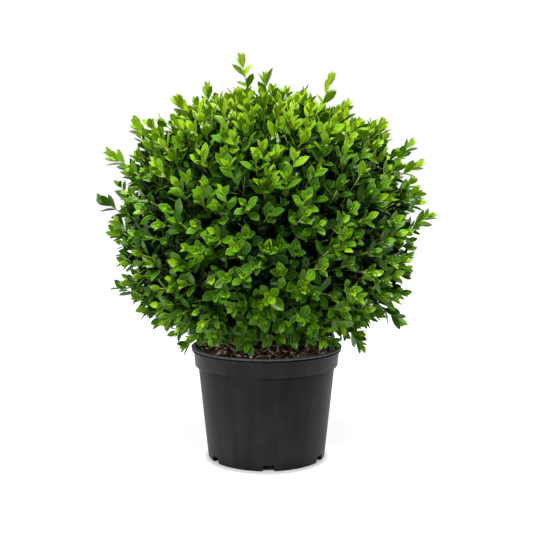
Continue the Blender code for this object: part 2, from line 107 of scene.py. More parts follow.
class Finish:
    """A procedural material. Its node method adds any shader node and returns one output."""

    def __init__(self, title, **fixed):
        self.material = bpy.data.materials.new(title)
        self.material.use_nodes = True
        self.nodes = self.material.node_tree.nodes
        self.links = self.material.node_tree.links
        self.shader = self.nodes["Principled BSDF"]
        for name, value in fixed.items():
            socket = name.replace("_", " ").title().replace("Ior", "IOR")
            self.shader.inputs[socket].default_value = value

    def feed(self, socket, value):
        if isinstance(value, Value):
            self.links.new(value.socket, socket)
        else:
            socket.default_value = value

    def node(self, kind, settings=None, inputs=None, output=0):
        made = self.nodes.new("ShaderNode" + kind)
        for name, value in (settings or {}).items():
            setattr(made, name, value)
        for key, value in (inputs or {}).items():
            self.feed(made.inputs[key], value)
        return Value(self, made.outputs[output])

    def mixed(self, mask, first, second):
        """The first colour where the mask is 0, the second where it is 1."""
        return self.node("Mix", {"data_type": "RGBA"}, {0: mask, 6: first, 7: second}, 2)

    def noise(self, place, scale, detail=3.0, roughness=0.55):
        settings = {"Scale": scale, "Detail": detail, "Roughness": roughness, "Vector": place}
        return self.node("TexNoise", None, settings)

    def stepped(self, value, low, high):
        """0 below the low value and 1 above the high one, with a smooth ramp between."""
        settings = {"interpolation_type": "SMOOTHSTEP"}
        return self.node("MapRange", settings, {"Value": value, "From Min": low, "From Max": high})

    def distance(self, value, middle):
        """How far the value is from a middle value, on either side."""
        return self.node("Math", {"operation": "ABSOLUTE"}, {0: value - middle})

    def place(self):
        """The place on the object, in metres."""
        return self.node("TexCoord", output=3)

    def cover(self, piece):
        piece.data.materials.clear()
        piece.data.materials.append(self.material)


def start_clean():
    """Ends any editing and deselects everything, so that the next tool acts on its own piece."""
    if bpy.context.object and bpy.context.object.mode != "OBJECT":
        bpy.ops.object.mode_set(mode="OBJECT")
    bpy.ops.object.select_all(action="DESELECT")


start_clean()
bpy.ops.mesh.primitive_plane_add(size=FLOOR_SIZE)
floor = bpy.context.object
floor.name = "floor"
floor_paper = Finish("floor_paper", base_color=FLOOR_COLOUR, roughness=FLOOR_ROUGHNESS)
# Painted shadow: the floor's glow darkens round the pot's foot, centred a little in front of it.
shade_ends = {0: floor_paper.place(), 1: FLOOR_SHADE_MIDDLE}
from_shade = floor_paper.node("VectorMath", {"operation": "DISTANCE"}, shade_ends, 1)
glow_and_painted_shadow = floor_paper.mixed(floor_paper.stepped(from_shade, *FLOOR_FADE), FLOOR_SHADE, SKY_BRIGHT)
floor_paper.feed(floor_paper.shader.inputs["Emission Color"], glow_and_painted_shadow)
floor_paper.feed(floor_paper.shader.inputs["Emission Strength"], FLOOR_GLOW)
floor_paper.cover(floor)

sky = bpy.data.worlds.new("studio_sky")
sky.use_nodes = True
bpy.context.scene.world = sky
sky_nodes = sky.node_tree.nodes
sky_light = sky_nodes["Background"]
sky_way = sky_nodes.new("ShaderNodeTexCoord")
sky_side = sky_nodes.new("ShaderNodeSeparateXYZ")
sky_fade = sky_nodes.new("ShaderNodeMapRange")
sky_fade.interpolation_type = "SMOOTHSTEP"
sky_fade.inputs["From Min"].default_value = SKY_FADE[0]
sky_fade.inputs["From Max"].default_value = SKY_FADE[1]
sky_tone = sky_nodes.new("ShaderNodeMix")
sky_tone.data_type = "RGBA"
sky_tone.inputs[6].default_value = SKY_DIM
sky_tone.inputs[7].default_value = SKY_BRIGHT
sky_light.inputs["Strength"].default_value = SKY_LIGHT
sky_seen = sky_nodes.new("ShaderNodeBackground")
sky_seen.inputs["Color"].default_value = SKY_BRIGHT
sky_seen.inputs["Strength"].default_value = SKY_SEEN
sky_path = sky_nodes.new("ShaderNodeLightPath")
sky_choice = sky_nodes.new("ShaderNodeMixShader")
sky_links = sky.node_tree.links
sky_links.new(sky_way.outputs["Generated"], sky_side.inputs[0])
sky_links.new(sky_side.outputs["Y"], sky_fade.inputs["Value"])
sky_links.new(sky_fade.outputs[0], sky_tone.inputs[0])
sky_links.new(sky_tone.outputs[2], sky_light.inputs["Color"])
sky_links.new(sky_path.outputs["Is Camera Ray"], sky_choice.inputs[0])
sky_links.new(sky_light.outputs[0], sky_choice.inputs[1])
sky_links.new(sky_seen.outputs[0], sky_choice.inputs[2])
sky_links.new(sky_choice.outputs[0], sky_nodes["World Output"].inputs["Surface"])

for lamp_name, turn, strength, angle in (
    ("key_light", KEY_TURN, KEY_STRENGTH, KEY_ANGLE),
    ("fill_light", FILL_TURN, FILL_STRENGTH, FILL_ANGLE),
):
    bpy.ops.object.light_add(type="SUN", rotation=turn)
    lamp = bpy.context.object
    lamp.name = lamp_name
    lamp.data.energy = strength
    lamp.data.angle = angle

bpy.ops.object.camera_add(
    location=CAMERA_PLACE, rotation=(math.radians(90.0 - CAMERA_PITCH), 0.0, 0.0)
)
bpy.context.object.data.lens = CAMERA_LENS
bpy.context.scene.camera = bpy.context.object
bpy.context.scene.view_settings.view_transform = "Standard"


# The nursery pot, injection-moulded in charcoal polypropylene. A double bead makes its lip, a
# collar steps in above the tapered body, and six notches in the foot let water out.
pot_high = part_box("pot")[1]
RIM_RADIUS = pot_high.x
POT_HEIGHT = pot_high.z
LIP_INNER = RIM_RADIUS - 0.007
BEAD_RADIUS = 0.0016
GROOVE_HEIGHT = POT_HEIGHT - 0.0041
GROOVE_DEPTH = 0.0022
LOWER_BEAD_INSET = 0.0008
LIP_BASE = POT_HEIGHT - 0.0074
COLLAR_TOP = RIM_RADIUS - 0.004
COLLAR_LOW = RIM_RADIUS - 0.0058
COLLAR_EDGE = 0.1441
COLLAR_BASE = 0.1419
BODY_TOP = 0.1049
BASE_RADIUS = 0.0902
FOOT_ROUNDING = 0.0025
FOOT_RING = 0.012
UNDERSIDE_RECESS = 0.0010
POT_WALL = 0.002
POT_FLOOR = 0.003
POT_STEPS = 144
NOTCH_COUNT = 6
NOTCH_WIDTH = 0.017
NOTCH_HEIGHT = 0.0095
NOTCH_DEPTH = 0.009
NOTCH_TURN = 2.0
NOTCH_ROUNDING = 0.0016
POT_SHARP_EDGE = math.radians(35.0)
SAME_POINT = 0.00001
PLASTIC_DARK = (0.0020, 0.0020, 0.0021, 1.0)
PLASTIC_LIGHT = (0.0090, 0.0089, 0.0090, 1.0)
# Pale grey of the lip's scuffs, which also stands for a painted highlight along its bead
PLASTIC_SCUFF_AND_HIGHLIGHT = (0.120, 0.120, 0.124, 1.0)
# Near black of a painted shade in the crease under the collar's overhang
PLASTIC_CREASE_SHADE = (0.0010, 0.0010, 0.0010, 1.0)
PLASTIC_GLOSS = 0.17
PLASTIC_ROUGHNESS = 0.40
CLOUD_SCALE = 22.0
FLOW_STRETCH = (90.0, 90.0, 5.0)
GRAIN_SCALE = 900.0
SCRATCH_SCALE = 160.0
SCUFF_AND_HIGHLIGHT_HEIGHTS = (POT_HEIGHT - 0.0052, POT_HEIGHT - 0.0004)
CREASE_SHADE_HEIGHT = COLLAR_BASE - 0.0006
CREASE_SHADE_EDGES = (0.0008, 0.0022)


def arc(radius, height, size, start, end, steps):
    """Points of a round edge: its centre, its own radius, and its first and last angle."""
    points = []
    for step in range(steps + 1):
        turn = math.radians(start + (end - start) * step / steps)
        points.append((radius + size * math.cos(turn), height + size * math.sin(turn)))
    return points


def turned_piece(name, profile, steps):
    """A closed shell spun round the Z axis from a chain of (radius, height) points."""
    start_clean()
    bpy.ops.mesh.primitive_plane_add(size=0.01)
    piece = bpy.context.object
    piece.name = name
    bpy.ops.object.mode_set(mode="EDIT")
    bpy.ops.mesh.select_all(action="SELECT")
    bpy.ops.mesh.merge(type="CENTER")
    place = Vector((0.0, 0.0, 0.0))
    for index, (radius, height) in enumerate(profile):
        step = Vector((radius, 0.0, height)) - place
        if index:
            bpy.ops.mesh.extrude_vertices_move(TRANSFORM_OT_translate={"value": step})
        else:
            bpy.ops.transform.translate(value=step)
        place += step
    bpy.ops.mesh.select_all(action="SELECT")
    bpy.ops.mesh.spin(steps=steps, angle=math.tau, center=(0.0, 0.0, 0.0), axis=(0.0, 0.0, 1.0))
    bpy.ops.mesh.select_all(action="SELECT")
    bpy.ops.mesh.remove_doubles(threshold=SAME_POINT)
    bpy.ops.mesh.normals_make_consistent(inside=False)
    bpy.ops.object.mode_set(mode="OBJECT")
    return piece


def settled(piece, slot, *nodes):
    """Puts the piece's place in its mesh, hangs it from the root and hides the imported parts it
    stands for. The slot is not used.
    """
    start_clean()
    piece.select_set(True)
    bpy.context.view_layer.objects.active = piece
    bpy.ops.object.transform_apply(location=True, rotation=True, scale=True)
    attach(piece, "root")
    if nodes:
        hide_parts(*nodes)
    return piece


def pot_profile():
    """From the middle of the underside, up the outside, over the lip and down the inside."""
    foot = BASE_RADIUS - FOOT_ROUNDING
    profile = [
        (0.0, UNDERSIDE_RECESS),
        (BASE_RADIUS - FOOT_RING - UNDERSIDE_RECESS, UNDERSIDE_RECESS),
        (BASE_RADIUS - FOOT_RING, 0.0),
    ]
    profile += arc(foot, FOOT_ROUNDING, FOOT_ROUNDING, -90.0, 0.0, 5)
    profile += [
        (BODY_TOP - 0.0004, COLLAR_BASE - 0.004),
        (BODY_TOP - 0.0011, COLLAR_BASE - 0.0008),
        (BODY_TOP + 0.0002, COLLAR_BASE + 0.0002),
        (COLLAR_LOW - 0.0003, COLLAR_BASE + 0.0005),
        (COLLAR_LOW, COLLAR_BASE + 0.0009),
        (COLLAR_TOP, LIP_BASE - 0.002),
        (COLLAR_TOP + 0.0005, LIP_BASE - 0.0005),
    ]
    lower_bead = (GROOVE_HEIGHT - LIP_BASE) / 2
    bead_middle = RIM_RADIUS - LOWER_BEAD_INSET - lower_bead
    profile += arc(bead_middle, LIP_BASE + lower_bead, lower_bead, -80.0, 80.0, 6)
    profile.append((RIM_RADIUS - GROOVE_DEPTH - LOWER_BEAD_INSET, GROOVE_HEIGHT))
    upper = POT_HEIGHT - BEAD_RADIUS
    profile += arc(RIM_RADIUS - BEAD_RADIUS, upper, BEAD_RADIUS, -70.0, 90.0, 8)
    profile += arc(LIP_INNER + 0.001, POT_HEIGHT - 0.0012, 0.001, 90.0, 180.0, 4)
    profile += [
        (COLLAR_LOW - POT_WALL, COLLAR_EDGE),
        (BODY_TOP - POT_WALL, COLLAR_BASE),
        (BASE_RADIUS - POT_WALL, POT_FLOOR),
        (0.0, POT_FLOOR),
    ]
    return profile


def notch_block(azimuth):
    """A block with rounded edges that cuts one drainage notch up into the foot."""
    start_clean()
    length = NOTCH_DEPTH * 2.0
    middle = BASE_RADIUS - NOTCH_DEPTH + length / 2
    turn = math.radians(azimuth)
    bpy.ops.mesh.primitive_cube_add(
        size=1.0,
        location=(middle * math.cos(turn), middle * math.sin(turn), 0.0),
        rotation=(0.0, 0.0, turn),
        scale=(length, NOTCH_WIDTH, NOTCH_HEIGHT * 2.0),
    )
    block = bpy.context.object
    bpy.ops.object.transform_apply(location=False, rotation=False, scale=True)
    rounding = block.modifiers.new("rounding", "BEVEL")
    rounding.width = NOTCH_ROUNDING
    rounding.segments = 3
    bpy.ops.object.modifier_apply(modifier=rounding.name)
    return block


def cut_away(piece, block):
    start_clean()
    piece.select_set(True)
    bpy.context.view_layer.objects.active = piece
    cut = piece.modifiers.new("cut", "BOOLEAN")
    cut.operation = "DIFFERENCE"
    cut.object = block
    bpy.ops.object.modifier_apply(modifier=cut.name)
    bpy.data.objects.remove(block)


def moulded_plastic():
    """Charcoal plastic with a fine moulded grain and faint flow marks. Its lip is scuffed and also
    lightened by a painted highlight, and painted shade darkens the crease under the collar.
    """
    finish = Finish("charcoal_plastic", specular_ior_level=PLASTIC_GLOSS)
    place = finish.place()
    cloud = finish.noise(place, CLOUD_SCALE, 4.0)
    streaks = finish.node("Mapping", None, {"Vector": place, "Scale": FLOW_STRETCH})
    flow = finish.noise(streaks, 1.0, 2.0)
    grain = finish.noise(place, GRAIN_SCALE, 2.0)
    tone = finish.stepped(cloud * 0.6 + flow * 0.4, 0.35, 0.68)
    plain = finish.mixed(tone, PLASTIC_DARK, PLASTIC_LIGHT)
    height = finish.node("SeparateXYZ", None, {"Vector": place}, 2)
    # The lip's top: real scuffs, and a painted highlight along the bead
    rubbed_and_lit = finish.stepped(height, *SCUFF_AND_HIGHLIGHT_HEIGHTS)
    scratches = finish.stepped(finish.noise(place, SCRATCH_SCALE, 5.0, 0.7), 0.38, 0.66)
    scuffed_and_lit = finish.mixed(rubbed_and_lit * (0.45 + 0.55 * scratches), plain, PLASTIC_SCUFF_AND_HIGHLIGHT)
    # Painted shade: a near-black line in the crease under the collar's overhang
    crease_shade = 1.0 - finish.stepped(finish.distance(height, CREASE_SHADE_HEIGHT), *CREASE_SHADE_EDGES)
    crease_shaded = finish.mixed(crease_shade * 0.8, scuffed_and_lit, PLASTIC_CREASE_SHADE)
    finish.feed(finish.shader.inputs["Base Color"], crease_shaded)
    finish.feed(finish.shader.inputs["Roughness"], PLASTIC_ROUGHNESS + 0.16 * cloud)
    settings = {"Height": grain * 0.5 + cloud * 0.8, "Strength": 0.25, "Distance": 0.0004}
    finish.feed(finish.shader.inputs["Normal"], finish.node("Bump", None, settings))
    return finish


nursery_pot = turned_piece("nursery_pot", pot_profile(), POT_STEPS)
for notch in range(NOTCH_COUNT):
    cut_away(nursery_pot, notch_block(NOTCH_TURN - 90.0 + notch * 360.0 / NOTCH_COUNT))
start_clean()
nursery_pot.select_set(True)
bpy.context.view_layer.objects.active = nursery_pot
bpy.ops.object.shade_smooth_by_angle(angle=POT_SHARP_EDGE)
moulded_plastic().cover(nursery_pot)
settled(nursery_pot, "pot_plastic", "pot")


# The potting mix, composted bark with paler chips and grains of perlite. It fills the pot to just
# under the lip in a low mound, and its surface is loose bits a few millimetres long.
MIX_MIDDLE = 0.1665
MIX_EDGE = 0.1650
MIX_FLOOR = POT_FLOOR + 0.0003
MIX_WALL_GAP = 0.0006
MIX_FOOT_RADIUS = 0.0795
MIX_FOOT_HEIGHT = 0.0125
MIX_STEPS = 96
MIX_RINGS = 22
MIX_BUMPS = 0.0032
MIX_BUMP_SIZE = 0.006
STREWN_RADIUS = 0.1045
STEM_ROOM = 0.0100
BIT_SHAPES = 5
BIT_UNEVENNESS = 0.42
BIT_TILT = 0.35
SPREAD_SEED = 41
MARK_MAP = "OFBake"
UP = np.array((0.0, 0.0, 1.0))
CRUMB_SCALE = 210.0
CRUMB_GRAIN_SCALE = 1400.0
# Near black of a painted shade low in the pot
MIX_PAINTED_SHADE = (0.0010, 0.0008, 0.0006, 1.0)

# Bits of the mix: how many, length, width and depth as shares of it, darkest and palest colour
BITS = {
    "mix_dark_bark": (
        800, (0.0035, 0.0100), (0.40, 0.75), (0.22, 0.42),
        (0.020, 0.011, 0.006, 1.0), (0.095, 0.053, 0.031, 1.0),
    ),
    "mix_brown_bark": (
        800, (0.0035, 0.0110), (0.30, 0.60), (0.20, 0.40),
        (0.095, 0.052, 0.028, 1.0), (0.370, 0.215, 0.118, 1.0),
    ),
    "mix_tan_chips": (
        360, (0.0045, 0.0100), (0.40, 0.70), (0.25, 0.45),
        (0.560, 0.340, 0.190, 1.0), (0.940, 0.700, 0.460, 1.0),
    ),
    "mix_perlite": (
        170, (0.0038, 0.0062), (0.65, 1.00), (0.50, 0.90),
        (0.940, 0.820, 0.640, 1.0), (0.980, 0.910, 0.780, 1.0),
    ),
}


class Shape:
    """A small modelled mesh, kept as arrays so that it can be repeated many times in one piece."""

    def __init__(self, modelled):
        mesh = modelled.data
        self.points = np.array([point.co[:] for point in mesh.vertices])
        self.faces = np.array([face.vertices[:] for face in mesh.polygons])
        self.marks = np.zeros((len(self.points), 2))
        bpy.data.objects.remove(modelled)


class Heap:
    """Gathers many small shapes, as arrays, into one joined piece."""

    def __init__(self):
        self.points = []
        self.faces = []
        self.marks = []
        self.count = 0

    def add(self, points, faces, marks):
        """Adds copies of a shape: each one's points, and the faces and marks they share."""
        copies, size = points.shape[:2]
        starts = self.count + size * np.arange(copies)
        self.faces.append((faces[None] + starts[:, None, None]).reshape(-1, faces.shape[1]))
        self.points.append(points.reshape(-1, 3))
        self.marks.append(np.tile(marks, (copies, 1)))
        self.count += copies * size

    def piece(self, name, smooth):
        """The joined object. A smooth one also gets its marks, as the map its material reads."""
        points = np.concatenate(self.points)
        faces = np.concatenate(self.faces)
        mesh = bpy.data.meshes.new(name)
        mesh.vertices.add(len(points))
        mesh.vertices.foreach_set("co", points.astype(np.float32).ravel())
        mesh.loops.add(faces.size)
        mesh.loops.foreach_set("vertex_index", faces.astype(np.int32).ravel())
        mesh.polygons.add(len(faces))
        starts = np.arange(len(faces), dtype=np.int32) * faces.shape[1]
        mesh.polygons.foreach_set("loop_start", starts)
        mesh.update(calc_edges=True)
        if smooth:
            marks = np.concatenate(self.marks)[faces.ravel()]
            mesh.uv_layers.new(name=MARK_MAP)
            mesh.uv_layers[MARK_MAP].data.foreach_set("uv", marks.astype(np.float32).ravel())
            mesh.shade_smooth()
        joined = bpy.data.objects.new(name, mesh)
        bpy.context.scene.collection.objects.link(joined)
        return joined


def unit(vectors):
    return vectors / np.linalg.norm(vectors, axis=-1, keepdims=True)


def copies_of(shape, roots, along, face, sizes):
    """The points of many copies of a shape, each by its root, run, upper face and sizes."""
    along = unit(along)
    across = unit(np.cross(along, face))
    up = np.cross(across, along)
    axes = np.stack((across, along, up), axis=1)
    sized = shape.points[None] * sizes[:, None, :]
    return roots[:, None, :] + np.einsum("nvi,nij->nvj", sized, axes)


def inner_wall(height):
    """Radius of the pot's inner face at a height above the collar's edge."""
    climb = (height - COLLAR_EDGE) / (POT_HEIGHT - COLLAR_EDGE)
    low = COLLAR_LOW - POT_WALL
    return low + (LIP_INNER - low) * climb


def mix_height(radius):
    return MIX_MIDDLE + (MIX_EDGE - MIX_MIDDLE) * (radius / inner_wall(MIX_EDGE)) ** 2


def make_mix_bed():
    """The body of the mix: a mound roughened by a displacement that acts on its top alone."""
    widening = (BODY_TOP - BASE_RADIUS) / (COLLAR_BASE - FOOT_ROUNDING)
    wall_above_foot = BASE_RADIUS + widening * MIX_FOOT_HEIGHT - POT_WALL
    rim = inner_wall(MIX_EDGE) - MIX_WALL_GAP
    profile = [
        (0.0, MIX_FLOOR),
        (MIX_FOOT_RADIUS, MIX_FLOOR),
        (MIX_FOOT_RADIUS, MIX_FOOT_HEIGHT),
        (wall_above_foot - MIX_WALL_GAP, MIX_FOOT_HEIGHT),
        (BODY_TOP - POT_WALL - MIX_WALL_GAP, COLLAR_BASE),
        (COLLAR_LOW - POT_WALL - MIX_WALL_GAP, COLLAR_EDGE),
    ]
    for ring in range(MIX_RINGS + 1):
        radius = rim * (1.0 - ring / MIX_RINGS)
        profile.append((radius, mix_height(radius)))
    bed = turned_piece("mix_bed", profile, MIX_STEPS)
    surface = bed.vertex_groups.new(name="surface")
    for point in bed.data.vertices:
        radius = math.hypot(point.co.x, point.co.y)
        if point.co.z > MIX_EDGE and STEM_ROOM < radius < rim - MIX_BUMPS:
            surface.add([point.index], 1.0, "REPLACE")
    bumps = bed.modifiers.new("bumps", "DISPLACE")
    bumps.texture = bpy.data.textures.new("mix_bumps", "CLOUDS")
    bumps.texture.noise_scale = MIX_BUMP_SIZE
    bumps.vertex_group = surface.name
    bumps.strength = MIX_BUMPS
    bumps.direction = "Z"
    bpy.ops.object.modifier_apply(modifier=bumps.name)
    return bed


def make_bit(seed):
    """One small broken bit, modelled from a ball whose points are pushed about."""
    start_clean()
    bpy.ops.mesh.primitive_ico_sphere_add(subdivisions=1, radius=0.5)
    bpy.ops.object.mode_set(mode="EDIT")
    bpy.ops.mesh.select_all(action="SELECT")
    bpy.ops.transform.vertex_random(offset=BIT_UNEVENNESS / 2, uniform=1.0, seed=seed)
    bpy.ops.object.mode_set(mode="OBJECT")
    return Shape(bpy.context.object)


def strew(name, bits, chance):
    """Strews one kind of bit over the mix, lying nearly flat and facing all ways."""
    count, lengths, widths, depths = BITS[name][:4]
    heap = Heap()
    for bit in bits:
        number = count // len(bits)
        radius = np.sqrt(chance.uniform(STEM_ROOM**2, STREWN_RADIUS**2, number))
        turn = chance.uniform(0.0, math.tau, number)
        length = chance.uniform(*lengths, number)
        width = chance.uniform(*widths, number)
        depth = chance.uniform(*depths, number)
        size = np.stack((width, np.ones(number), depth), axis=1) * length[:, None]
        height = mix_height(radius) + chance.uniform(0.0, MIX_BUMPS, number)
        roots = np.stack((radius * np.cos(turn), radius * np.sin(turn), height), axis=1)
        along = chance.normal(0.0, 1.0, (number, 3)) * (1.0, 1.0, BIT_TILT)
        face = UP + chance.normal(0.0, BIT_TILT, (number, 3))
        heap.add(copies_of(bit, roots, along, face, size), bit.faces, bit.marks)
    return heap.piece(name, smooth=False)


def rough_finish(name, dark, light, roughness):
    """Crumbly matter that wanders between two tones. Below its surface it is near black, a painted
    shade low in the pot.
    """
    finish = Finish(name, roughness=roughness)
    place = finish.place()
    tone = finish.stepped(finish.noise(place, CRUMB_SCALE, 3.0), 0.36, 0.64)
    height = finish.node("SeparateXYZ", None, {"Vector": place}, 2)
    # Painted shade: near black at the foot of the mix, ramping to its own tones by the collar
    above_shade = finish.stepped(height, MIX_FOOT_HEIGHT, COLLAR_BASE)
    colour = finish.mixed(above_shade, MIX_PAINTED_SHADE, finish.mixed(tone, dark, light))
    finish.feed(finish.shader.inputs["Base Color"], colour)
    grain = finish.noise(place, CRUMB_GRAIN_SCALE, 3.0)
    settings = {"Height": grain, "Strength": 0.6, "Distance": 0.0005}
    finish.feed(finish.shader.inputs["Normal"], finish.node("Bump", None, settings))
    return finish


mix_bed = make_mix_bed()
dark_bark = BITS["mix_dark_bark"]
rough_finish("mix_fines", dark_bark[4], dark_bark[5], 0.95).cover(mix_bed)
settled(mix_bed, "potting_mix", "potting_mix")
bit_shapes = [make_bit(seed) for seed in range(BIT_SHAPES)]
spread_chance = np.random.default_rng(SPREAD_SEED)
for bit_name, bit_facts in BITS.items():
    strewn = strew(bit_name, bit_shapes, spread_chance)
    rough_finish(bit_name, bit_facts[4], bit_facts[5], 0.85).cover(strewn)
    settled(strewn, "potting_mix", "potting_mix")


# The stem and its eleven boughs, under thin grey-brown bark that is cracked into small ridges. The
# stem flares where it leaves the mix, and the boughs run up and out from it inside the crown.
BARK_RELIEF = 0.0007
BARK_RIDGE_SIZE = 0.0032
STEM_ROUNDS = 3
BOUGH_ROUNDS = 2
BARK_DARK = (0.030, 0.020, 0.012, 1.0)
BARK_LIGHT = (0.135, 0.098, 0.062, 1.0)
BARK_STRETCH = (420.0, 420.0, 90.0)
BARK_CRACK_EDGE = 0.30
LICHEN_SCALE = 120.0


def barked(node, rounds, relief):
    """A limb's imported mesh, merged, rounded and raised into the relief of its bark."""
    start_clean()
    piece = bpy.data.objects.new(node + "_bark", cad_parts[node].data.copy())
    bpy.context.scene.collection.objects.link(piece)
    piece.select_set(True)
    bpy.context.view_layer.objects.active = piece
    bpy.ops.object.mode_set(mode="EDIT")
    bpy.ops.mesh.select_all(action="SELECT")
    bpy.ops.mesh.remove_doubles(threshold=SAME_POINT)
    bpy.ops.mesh.tris_convert_to_quads()
    bpy.ops.object.mode_set(mode="OBJECT")
    smoothing = piece.modifiers.new("smoothing", "SUBSURF")
    smoothing.levels = rounds
    smoothing.render_levels = rounds
    bpy.ops.object.modifier_apply(modifier=smoothing.name)
    ridges = piece.modifiers.new("ridges", "DISPLACE")
    ridges.texture = relief
    ridges.strength = BARK_RELIEF
    ridges.mid_level = 0.5
    bpy.ops.object.modifier_apply(modifier=ridges.name)
    bpy.ops.object.shade_smooth()
    return piece


def bark_finish():
    """Grey-brown bark: dark in its cracks and paler on its ridges, which run upwards."""
    finish = Finish("bark", roughness=0.9)
    place = finish.place()
    stretched = finish.node("Mapping", None, {"Vector": place, "Scale": BARK_STRETCH})
    cells = {"Vector": stretched, "Scale": 1.0}
    ridges = finish.node("TexVoronoi", {"feature": "DISTANCE_TO_EDGE"}, cells)
    lichen = finish.stepped(finish.noise(place, LICHEN_SCALE, 4.0), 0.45, 0.70)
    tone = finish.stepped(ridges, 0.0, BARK_CRACK_EDGE) * 0.7 + lichen * 0.3
    finish.feed(finish.shader.inputs["Base Color"], finish.mixed(tone, BARK_DARK, BARK_LIGHT))
    settings = {"Height": ridges, "Strength": 0.8, "Distance": 0.0010}
    finish.feed(finish.shader.inputs["Normal"], finish.node("Bump", None, settings))
    return finish


bark_relief = bpy.data.textures.new("bark_ridges", "STUCCI")
bark_relief.noise_scale = BARK_RIDGE_SIZE
bark = bark_finish()
limb_nodes = [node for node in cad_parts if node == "trunk" or node.startswith("bough")]
for limb_node in limb_nodes:
    limb_rounds = STEM_ROUNDS if limb_node == "trunk" else BOUGH_ROUNDS
    limb_piece = barked(limb_node, limb_rounds, bark_relief)
    bark.cover(limb_piece)
    settled(limb_piece, "bark", limb_node)


# The twigs. A stem runs on from each bough's tip, or the leader's, and forks into branchlets, these
# fork into inner twigs, and each inner twig ends in a young green shoot. Shoots spread over the
# ball by the golden angle, and each grows from the mass whose middle is nearest.
HEART = np.array((0.0, 0.0, 0.360))
BALL_RADIUS = 0.2355
TOP_FLATTENING = 0.0235
FLATTENING_FROM = 0.60
FLATTENING_OVER = 0.30
UNDERSIDE = 0.187
LOWEST_SLOPE = -0.90
LOW_TIER = ("foliage_low", 12.0, -14.0, 0.075, 0.262, 16.0)
HIGH_TIER = ("foliage_high", -6.0, 36.0, 0.053, 0.386, 50.0)
LEADER_TIP = 0.405
MASS_STEM_LENGTH = 0.055
MASS_STEM_RADII = (0.0014, 0.0011)
MASS_STEM_FORKS = (0.25, 1.0)
BRANCHLET_COUNT = 116
BRANCHLET_REACH = 0.52
BRANCHLET_RADII = (0.0012, 0.0010)
BRANCHLET_FORKS = (0.15, 1.0)
INNER_TWIG_RADII = (0.0009, 0.0008)
TWIG_BEND = 0.33
SHOOT_RADII = (0.0012, 0.0007)
SHOOT_FOCUS = np.array((0.0, 0.0, 0.295))
SHOOT_SWAY = 0.15
SHOOT_DRIFT = 0.030
TIP_LEAF_REACH = 0.0125
GATHERING = 0.20
CLUSTER_SCATTER = 0.0035
UPTURN = 0.14
UPTURN_FROM = -0.45
UPTURN_RATE = 2.0
TWIG_RINGS = 6
TWIG_SIDES = 4
OFF_AXIS = np.array((0.31, 0.17, 0.94))
POT_ROOM = 0.0025
CROWN_SEED = 7
MARK_LOW = 0.02
MARK_SIZE = 0.36
MARK_MIDDLE = MARK_LOW + MARK_SIZE / 2
TWIG_OLD = (0.024, 0.020, 0.009, 1.0)
TWIG_WOODY = (0.050, 0.052, 0.014, 1.0)
TWIG_GREEN = (0.062, 0.074, 0.008, 1.0)
TWIG_FRESH = (0.215, 0.285, 0.010, 1.0)

# Crowds of shoots: how many, how far their tips stay inside the outline, and their length
OUTER_CROWD = (580, (-0.002, 0.015), 0.115)
SECOND_CROWD = (560, (0.014, 0.044), 0.095)
INNER_CROWD = (420, (0.048, 0.105), 0.070)
UNDER_CROWD = (150, (0.002, 0.048), 0.085)
UNDER_CROWD_TOP = -0.45

# Tips of the shoots that stand out of the outline
LEADING_TIPS = (
    (-0.040, 0.000, 0.612),
    (-0.003, 0.030, 0.588),
    (0.054, -0.015, 0.575),
    (0.099, -0.010, 0.582),
    (0.127, 0.015, 0.543),
    (0.183, 0.005, 0.514),
    (0.221, -0.010, 0.482),
    (0.240, 0.015, 0.450),
    (0.2565, 0.000, 0.373),
    (0.214, 0.005, 0.249),
    (0.206, -0.010, 0.207),
    (0.150, -0.020, 0.166),
    (-0.088, -0.010, 0.566),
    (-0.118, 0.000, 0.566),
    (-0.138, 0.015, 0.549),
    (-0.204, 0.010, 0.514),
    (-0.241, -0.015, 0.464),
    (-0.257, 0.000, 0.398),
    (-0.244, 0.020, 0.341),
    (-0.235, 0.010, 0.262),
    (-0.174, -0.010, 0.203),
    (-0.132, -0.020, 0.167),
    (0.020, -0.2500, 0.350),
    (-0.015, 0.2500, 0.372),
)


def heading(azimuth, elevation):
    """Unit vector for an azimuth from +X and an elevation above level, both in degrees."""
    turn = math.radians(azimuth)
    rise = math.radians(elevation)
    level = math.cos(rise)
    return np.array((level * math.cos(turn), level * math.sin(turn), math.sin(rise)))


def masses_of_foliage():
    """Each mass's middle, the bough's tip that it grows from, and the way its stem runs on."""
    middles, roots, runs = [], [], []
    for tier, first_azimuth, elevation, reach, height, rise in (LOW_TIER, HIGH_TIER):
        count = sum(node.startswith(tier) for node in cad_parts)
        for index in range(count):
            azimuth = first_azimuth + index * 360.0 / count
            middles.append(heading(azimuth, elevation))
            roots.append(heading(azimuth, 0.0) * reach + (0.0, 0.0, height))
            runs.append(heading(azimuth, rise))
    middles.append(heading(0.0, 90.0))
    roots.append(np.array((0.0, 0.0, LEADER_TIP)))
    runs.append(heading(0.0, 90.0))
    return np.array(middles), np.array(roots), np.array(runs)


def spiral(count, highest=1.0):
    """Unit vectors spread evenly by the golden angle, from the highest slope to the lowest."""
    index = np.arange(count)
    rise = highest - (highest - LOWEST_SLOPE) * (index + 0.5) / count
    level = np.sqrt(1.0 - rise**2)
    turn = index * math.pi * (3.0 - math.sqrt(5.0))
    return np.stack((level * np.cos(turn), level * np.sin(turn), rise), axis=1)


def ball_reach(ways):
    """Distance from the ball's heart to its outline along each unit vector."""
    flat = np.clip((ways[:, 2] - FLATTENING_FROM) / FLATTENING_OVER, 0.0, 1.0)
    reach = BALL_RADIUS - TOP_FLATTENING * flat
    down = np.maximum(-ways[:, 2], 0.001)
    return np.minimum(reach, (HEART[2] - UNDERSIDE) / down)


